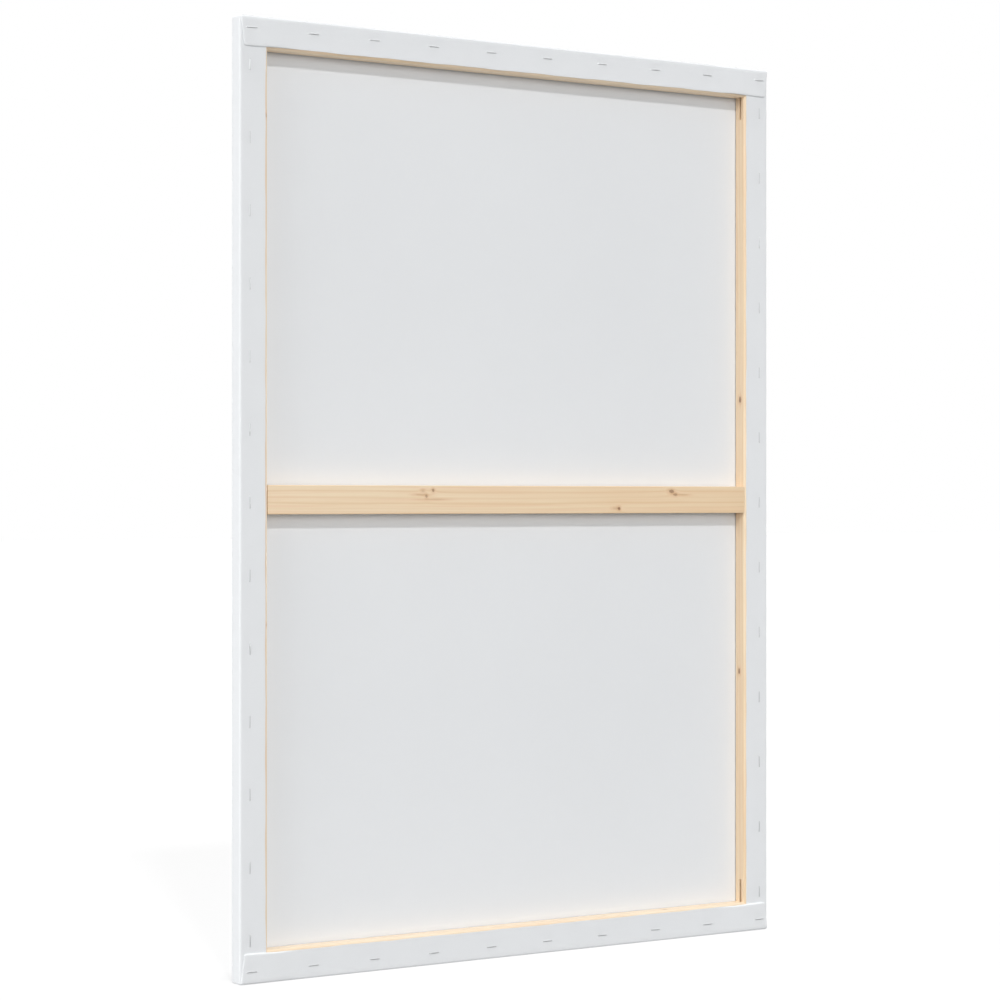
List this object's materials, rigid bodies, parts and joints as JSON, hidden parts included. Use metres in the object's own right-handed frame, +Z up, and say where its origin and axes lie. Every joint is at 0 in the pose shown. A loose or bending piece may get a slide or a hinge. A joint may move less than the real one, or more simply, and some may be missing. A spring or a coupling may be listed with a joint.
{
  "type": "stretched canvas",
  "caption": "Rectangular blank primed canvas stretched over a mitred wooden frame with a cross brace and stapled along the back; rests on an easel ledge or hangs by its top bar.",
  "frame": {"origin": "under the middle of the bottom edge, on the plane the canvas stands on, half way through its depth", "axes": "+Z up along the height, X across the width, -Y towards the painting side, +Y out of the stapled back; left and right are as seen from the painting side"},
  "size_m": [0.7, 0.0206, 1],
  "materials": {
    "primed_cloth": "white primed cotton, matte",
    "pine": "planed, unvarnished",
    "staple_wire": "galvanised"
  },
  "bodies": {
    "root": {"canvas": "primed_cloth", "top_bar": "pine", "bottom_bar": "pine", "left_bar": "pine", "right_bar": "pine", "cross_brace": "pine", "top_staples": "staple_wire", "bottom_staples": "staple_wire", "left_staples": "staple_wire", "right_staples": "staple_wire"}
  },
  "joints": []
}
